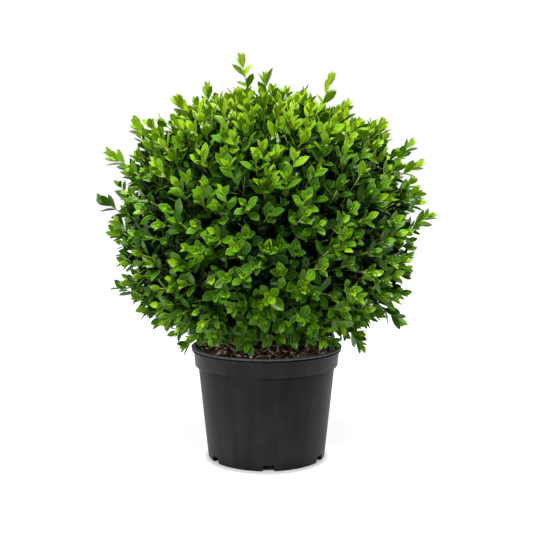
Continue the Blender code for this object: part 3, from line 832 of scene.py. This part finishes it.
def bezier(ends, shares):
    """Points and headings along many curves, one row of shares for each curve of four ends."""
    t = shares[..., None]
    a, b, c, d = (ends[:, None, corner] for corner in range(4))
    points = (1 - t) ** 3 * a + 3 * (1 - t) ** 2 * t * b + 3 * (1 - t) * t**2 * c + t**3 * d
    slopes = (1 - t) ** 2 * (b - a) + 2 * (1 - t) * t * (c - b) + t**2 * (d - c)
    return points, unit(slopes)


def bent_twigs(starts, leaving, ends, arriving):
    """The four ends of a curve for each twig, from where it starts and where it arrives."""
    stretch = np.linalg.norm(ends - starts, axis=1, keepdims=True) * TWIG_BEND
    return np.stack((starts, starts + leaving * stretch, ends - arriving * stretch, ends), axis=1)


def tubes(ends, radii):
    """Closed square tubes along many curves: each one's points, and the faces and marks."""
    shares = np.tile(np.linspace(0.0, 1.0, TWIG_RINGS), (len(ends), 1))
    path, along = bezier(ends, shares)
    aside = unit(np.cross(along, OFF_AXIS))
    across = np.cross(along, aside)
    thickness = radii[0] + (radii[1] - radii[0]) * shares
    turns = math.tau * np.arange(TWIG_SIDES) / TWIG_SIDES
    spokes = aside[:, :, None] * np.cos(turns)[:, None]
    spokes = spokes + across[:, :, None] * np.sin(turns)[:, None]
    points = path[:, :, None] + spokes * thickness[:, :, None, None]
    faces = [tuple(reversed(range(TWIG_SIDES)))]
    for ring in range(TWIG_RINGS - 1):
        low = ring * TWIG_SIDES
        for side in range(TWIG_SIDES):
            following = (side + 1) % TWIG_SIDES
            over = low + TWIG_SIDES
            faces.append((low + side, low + following, over + following, over + side))
    last = (TWIG_RINGS - 1) * TWIG_SIDES
    faces.append(tuple(range(last, last + TWIG_SIDES)))
    marks = [
        (MARK_LOW + MARK_SIZE * side / TWIG_SIDES, MARK_LOW + MARK_SIZE * ring / (TWIG_RINGS - 1))
        for ring in range(TWIG_RINGS)
        for side in range(TWIG_SIDES)
    ]
    return points.reshape(len(ends), -1, 3), np.array(faces), np.array(marks)


def clear_of_pot(points):
    """True for each copy that keeps out of the pot's wall and lip, and above the mix."""
    level = np.hypot(points[..., 0], points[..., 1])
    over_pot = level < RIM_RADIUS + POT_ROOM
    low = points[..., 2] < POT_HEIGHT + POT_ROOM
    return ~(over_pot & low).any(axis=1)


class Shoots:
    """A crowd of leafy shoots: their tips, their twigs' curves and their branchlets."""

    def __init__(self, crowd, chance, leading=(), highest=1.0):
        count, drops, self.length = crowd
        ways = unit(spiral(count, highest) + chance.normal(0.0, SHOOT_DRIFT, (count, 3)))
        own = nearest_branchlets(ways)
        ways = unit(ways * (1.0 - GATHERING) + branchlet_ways[own] * GATHERING)
        reaches = ball_reach(ways) - chance.uniform(*drops, count) + branchlet_lift[own]
        self.tips = HEART + ways * reaches[:, None]
        self.leads = np.zeros(count, dtype=bool)
        for tip in leading:
            nearest = np.linalg.norm(self.tips - tip, axis=1).argmin()
            self.tips[nearest] = tip
            self.leads[nearest] = True
        self.ways = unit(self.tips - HEART)
        self.own = nearest_branchlets(self.ways)
        straight = unit(self.tips - SHOOT_FOCUS)
        upturn = UPTURN * np.clip((straight[:, 2:] - UPTURN_FROM) * UPTURN_RATE, 0.0, 1.0)
        straight = unit(straight + chance.normal(0.0, SHOOT_SWAY, straight.shape))
        self.tips = self.tips - straight * TIP_LEAF_REACH
        self.feet = self.tips - straight * self.length
        self.leaving = unit(straight - UP * upturn)
        arriving = unit(straight + UP * upturn)
        self.curves = bent_twigs(self.feet, self.leaving, self.tips, arriving)


def nearest_branchlets(ways):
    """For each heading, the nearest branchlet that grows from the same mass."""
    homes = (ways @ middles.T).argmax(axis=1)
    nearness = ways @ branchlet_ways.T
    nearness[homes[:, None] != branchlet_homes[None]] = -2.0
    return nearness.argmax(axis=1)


def inner_twigs_of(shoots, chance):
    """The curves that join each shoot's foot to a place along its branchlet."""
    shares = chance.uniform(*BRANCHLET_FORKS, (len(shoots.own), 1))
    starts, along = bezier(branchlets[shoots.own], shares)
    return bent_twigs(starts[:, 0], along[:, 0], shoots.feet, shoots.leaving)


def twig_finish(name, old, fresh):
    """Smooth young bark that turns from one colour to another over the twig's outer half."""
    finish = Finish(name, roughness=0.55)
    mark = finish.node("UVMap", {"uv_map": MARK_MAP})
    run = finish.node("SeparateXYZ", None, {"Vector": mark}, 1)
    tone = finish.stepped(run, MARK_MIDDLE, MARK_LOW + MARK_SIZE)
    finish.feed(finish.shader.inputs["Base Color"], finish.mixed(tone, old, fresh))
    return finish


crown_chance = np.random.default_rng(CROWN_SEED)
middles, mass_roots, mass_runs = masses_of_foliage()
mass_stems = bent_twigs(mass_roots, mass_runs, mass_roots + mass_runs * MASS_STEM_LENGTH, mass_runs)

branchlet_ways = spiral(BRANCHLET_COUNT)
branchlet_homes = (branchlet_ways @ middles.T).argmax(axis=1)
branchlet_ends = HEART + branchlet_ways * (ball_reach(branchlet_ways) * BRANCHLET_REACH)[:, None]
branchlet_shares = crown_chance.uniform(*MASS_STEM_FORKS, (BRANCHLET_COUNT, 1))
branchlet_roots, branchlet_leaving = bezier(mass_stems[branchlet_homes], branchlet_shares)
branchlet_roots = branchlet_roots[:, 0]
branchlet_leaving = branchlet_leaving[:, 0]
branchlets = bent_twigs(branchlet_roots, branchlet_leaving, branchlet_ends, branchlet_ways)

branchlet_lift = crown_chance.normal(0.0, CLUSTER_SCATTER, BRANCHLET_COUNT)
outer_shoots = Shoots(OUTER_CROWD, crown_chance, LEADING_TIPS)
second_shoots = Shoots(SECOND_CROWD, crown_chance)
inner_shoots = Shoots(INNER_CROWD, crown_chance)
under_shoots = Shoots(UNDER_CROWD, crown_chance, highest=UNDER_CROWD_TOP)
crowds = (outer_shoots, second_shoots, inner_shoots, under_shoots)

foliage_nodes = [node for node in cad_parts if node.startswith("foliage")]
old_wood = Heap()
old_wood.add(*tubes(mass_stems, MASS_STEM_RADII))
old_wood.add(*tubes(branchlets, BRANCHLET_RADII))
for shoots in crowds:
    old_wood.add(*tubes(inner_twigs_of(shoots, crown_chance), INNER_TWIG_RADII))
inner_twigs = old_wood.piece("inner_twigs", smooth=True)
twig_finish("old_twigs", TWIG_OLD, TWIG_WOODY).cover(inner_twigs)
settled(inner_twigs, "bark", *foliage_nodes)

new_wood = Heap()
for shoots in crowds:
    points, faces, marks = tubes(shoots.curves, SHOOT_RADII)
    new_wood.add(points[clear_of_pot(points)], faces, marks)
young_twigs = new_wood.piece("young_twigs", smooth=True)
twig_finish("green_twigs", TWIG_GREEN, TWIG_FRESH).cover(young_twigs)
settled(young_twigs, "leaves", *foliage_nodes)


# The leaves, leathery and glossy, in crossed pairs down each shoot. The pair at the tip is young,
# upright and yellow-green, and each pair below it is larger, darker and more spread. They are
# modelled as thin blades in a few forms, and joined into one piece for each of their greens.
LEAF_ACROSS = 5
LEAF_STATIONS = (0.0, 0.12, 0.34, 0.60, 0.84, 1.0)
PLAIN_ACROSS = 3
PLAIN_STATIONS = (0.0, 0.24, 0.56, 0.86, 1.0)
LEAF_WIDTH = 0.54
LEAF_STALK_SHARE = 0.10
LEAF_TIP_SHARE = 0.04
LEAF_SWELL = 1.20
LEAF_BLUNTNESS = 0.86

# Leaf forms: across, stations, fold in degrees, curl back, and how far each half bulges
LEAF_FORMS = {
    "cupped": (LEAF_ACROSS, LEAF_STATIONS, 17.0, -0.05, 0.020),
    "open": (LEAF_ACROSS, LEAF_STATIONS, 12.0, 0.05, 0.030),
    "arched": (LEAF_ACROSS, LEAF_STATIONS, 8.0, 0.13, 0.035),
    "plain": (PLAIN_ACROSS, PLAIN_STATIONS, 12.0, 0.06, 0.0),
}

# Pairs down a shoot: setback from its tip, leaf length, spread in degrees, form, steps darker
OUTER_PAIRS = (
    (0.0005, 0.0085, 14.0, "plain", 0),
    (0.0025, 0.0170, 28.0, "cupped", 1),
    (0.0095, 0.0220, 42.0, "cupped", 2),
    (0.0210, 0.0245, 50.0, "open", 2),
    (0.0365, 0.0240, 56.0, "arched", 3),
    (0.0535, 0.0225, 60.0, "arched", 3),
    (0.0720, 0.0205, 62.0, "plain", 4),
    (0.0900, 0.0190, 66.0, "plain", 4),
)
# Inner shoots take the darkest greens: painted shade for the ball's dark inside
INNER_PAIRS = (
    (0.0040, 0.0180, 34.0, "plain", 4),
    (0.0170, 0.0210, 52.0, "plain", 4),
    (0.0320, 0.0200, 60.0, "plain", 5),
    (0.0470, 0.0180, 66.0, "plain", 5),
)
PAIR_JITTER = 0.0012
SPREAD_JITTER = 7.0
TWIST_JITTER = 9.0
LENGTH_JITTER = 0.09
SHOOT_SIZES = (0.86, 1.12)
SUNWARD = 0.22

# Leaves spread less on the leading shoots, and on shoots high in the ball
LEADING_SPREAD = 0.70
UPRIGHT_HEIGHTS = (0.42, 0.54)
UPRIGHT_SPREADS = (1.0, 0.84)

# Steps by which the greens get newer and paler with height, partly as young growth and partly as
# painted light: brighter high in the ball, where the light falls, and darker low down
GROWTH_AND_LIGHT_HEIGHTS = (0.20, 0.40, 0.47, 0.54)
GROWTH_AND_LIGHT_STEPS = (0.32, 0.72, 1.45, 2.55)

# The greens, from the newest leaves to the oldest: blade, its paler midrib and edge, and gloss.
# The darkest two also paint the shade deep in the ball, the inner one near black.
GREENS = (
    ("new_leaves", (0.205, 0.345, 0.003, 1.0), (0.315, 0.470, 0.022, 1.0), 0.19),
    ("light_leaves", (0.134, 0.280, 0.002, 1.0), (0.235, 0.420, 0.016, 1.0), 0.21),
    ("fresh_leaves", (0.054, 0.156, 0.002, 1.0), (0.130, 0.285, 0.014, 1.0), 0.21),
    ("middle_leaves", (0.018, 0.070, 0.001, 1.0), (0.060, 0.155, 0.009, 1.0), 0.18),
    ("deep_leaves", (0.005, 0.020, 0.001, 1.0), (0.017, 0.050, 0.003, 1.0), 0.09),
    ("inner_leaves", (0.0008, 0.0030, 0.0003, 1.0), (0.003, 0.008, 0.001, 1.0), 0.03),
)


# Leaf patterns: where the midrib, veins and edge begin and end, and the side veins' slant and count
MIDRIB_EDGES = (0.03, 0.13)
VEIN_EDGES = (0.55, 1.0)
LEAF_EDGES = (0.66, 0.96)
FOOT_EDGES = (0.0, 0.22)
VEIN_SLANT = 0.16
VEIN_WAVES = 62.0
DULL_ROUGHNESS = 0.67
GLOSS_SMOOTHS = 2.0


def make_leaf(across, stations, fold, curl, bulge):
    """A blade one unit long on +Y, modelled from a grid whose rows are its stations."""
    start_clean()
    bpy.ops.mesh.primitive_grid_add(
        x_subdivisions=across - 1, y_subdivisions=len(stations) - 1, size=2.0
    )
    modelled = bpy.context.object
    marks = []
    for point in modelled.data.vertices:
        side = point.co.x
        row = round((point.co.y + 1.0) / 2.0 * (len(stations) - 1))
        run = stations[row]
        swell = math.sin(math.pi * run**LEAF_SWELL) ** LEAF_BLUNTNESS
        least = LEAF_STALK_SHARE if run < 0.5 else LEAF_TIP_SHARE
        half = LEAF_WIDTH / 2 * max(swell, least)
        lift = abs(side) * half * math.sin(math.radians(fold))
        lift += math.sin(math.pi * abs(side)) * bulge * swell
        lift -= curl * run**2
        point.co = (side * half * math.cos(math.radians(fold)), run, lift)
        marks.append((MARK_LOW + MARK_SIZE * (side + 1.0) / 2.0, MARK_LOW + MARK_SIZE * run))
    shape = Shape(modelled)
    shape.marks = np.array(marks)
    return shape


def leafed(shoots, pairs, older_and_shaded, heaps, chance):
    """Adds the crossed pairs of all the shoots, each leaf to the heap of its own green."""
    count = len(shoots.tips)
    # Painted light and growth: the greens step paler with the shoot's height
    light = np.interp(shoots.tips[:, 2], GROWTH_AND_LIGHT_HEIGHTS, GROWTH_AND_LIGHT_STEPS)
    tones = older_and_shaded + 1 - np.floor(light + chance.random(count)).astype(int)
    turns = chance.uniform(0.0, math.tau, count)
    sizes = chance.uniform(*SHOOT_SIZES, count)
    sizes = np.where(shoots.leads, SHOOT_SIZES[1], sizes)
    spreads = np.interp(shoots.tips[:, 2], UPRIGHT_HEIGHTS, UPRIGHT_SPREADS)
    spreads = np.where(shoots.leads, LEADING_SPREAD, spreads)
    for pair, (setback, length, spread, form, step) in enumerate(pairs):
        back = setback * sizes + chance.normal(0.0, PAIR_JITTER, count) * (pair > 0)
        shares = np.clip(1.0 - back / shoots.length, 0.0, 1.0)
        roots, along = bezier(shoots.curves, shares[:, None])
        roots = roots[:, 0]
        along = along[:, 0]
        aside = unit(np.cross(along, OFF_AXIS))
        across = np.cross(along, aside)
        if pair == 0:
            broadside = np.arctan2(across[:, 1], aside[:, 1]) + math.pi / 4
            turns = np.where(shoots.leads, broadside, turns)
        for side in (0.0, math.pi):
            turn = turns + pair * math.pi / 2 + side
            turn = turn + np.radians(chance.normal(0.0, TWIST_JITTER, count))
            outward = aside * np.cos(turn)[:, None] + across * np.sin(turn)[:, None]
            lean = spread * spreads + chance.normal(0.0, SPREAD_JITTER, count)
            lean = np.radians(lean)[:, None]
            run = along * np.cos(lean) + outward * np.sin(lean)
            face = along * np.sin(lean) - outward * np.cos(lean) + UP * SUNWARD
            scale = length * sizes * (1.0 + chance.normal(0.0, LENGTH_JITTER, count))
            shape = leaf_shapes[form]
            points = copies_of(shape, roots, run, face, np.tile(scale[:, None], (1, 3)))
            clear = clear_of_pot(points)
            greens = np.clip(tones + step, 0, len(GREENS) - 1)
            for green in np.unique(greens):
                chosen = clear & (greens == green)
                heaps[green].add(points[chosen], shape.faces, shape.marks)


def leaf_finish(name, blade, rib, gloss):
    """Glossy green with a paler midrib, foot and edge, faint side veins and a fine relief."""
    finish = Finish(name, specular_ior_level=gloss)
    mark = finish.node("UVMap", {"uv_map": MARK_MAP})
    across = finish.node("SeparateXYZ", None, {"Vector": mark}, 0)
    run = finish.node("SeparateXYZ", None, {"Vector": mark}, 1)
    side = finish.distance(across, MARK_MIDDLE) / (MARK_SIZE / 2)
    length = (run - MARK_LOW) / MARK_SIZE
    midrib = 1.0 - finish.stepped(side, *MIDRIB_EDGES)
    phase = (length - side * VEIN_SLANT) * VEIN_WAVES
    waves = finish.node("Math", {"operation": "SINE"}, {0: phase})
    veins = finish.stepped(waves, *VEIN_EDGES) * (1.0 - side)
    edge = finish.stepped(side, *LEAF_EDGES)
    foot = 1.0 - finish.stepped(length, *FOOT_EDGES)
    mask = midrib * 0.75 + veins * 0.22 + edge * 0.80 + foot * 0.35
    finish.feed(finish.shader.inputs["Base Color"], finish.mixed(mask, blade, rib))
    roughness = DULL_ROUGHNESS - GLOSS_SMOOTHS * gloss
    finish.feed(finish.shader.inputs["Roughness"], roughness + 0.10 * edge + 0.08 * midrib)
    relief = {"Height": veins * 0.5 - midrib, "Strength": 0.35, "Distance": 0.0004}
    finish.feed(finish.shader.inputs["Normal"], finish.node("Bump", None, relief))
    return finish


leaf_shapes = {name: make_leaf(*form) for name, form in LEAF_FORMS.items()}
leaf_heaps = [Heap() for green in GREENS]
leafed(outer_shoots, OUTER_PAIRS, 0, leaf_heaps, crown_chance)
# The second crowd starts two greens darker: painted shade, as it stands deeper in the ball
leafed(second_shoots, OUTER_PAIRS, 2, leaf_heaps, crown_chance)
leafed(inner_shoots, INNER_PAIRS, 0, leaf_heaps, crown_chance)
leafed(under_shoots, OUTER_PAIRS, 0, leaf_heaps, crown_chance)
for green_facts, leaf_heap in zip(GREENS, leaf_heaps):
    leaves = leaf_heap.piece(green_facts[0], smooth=True)
    leaf_finish(*green_facts).cover(leaves)
    settled(leaves, "leaves", *foliage_nodes)
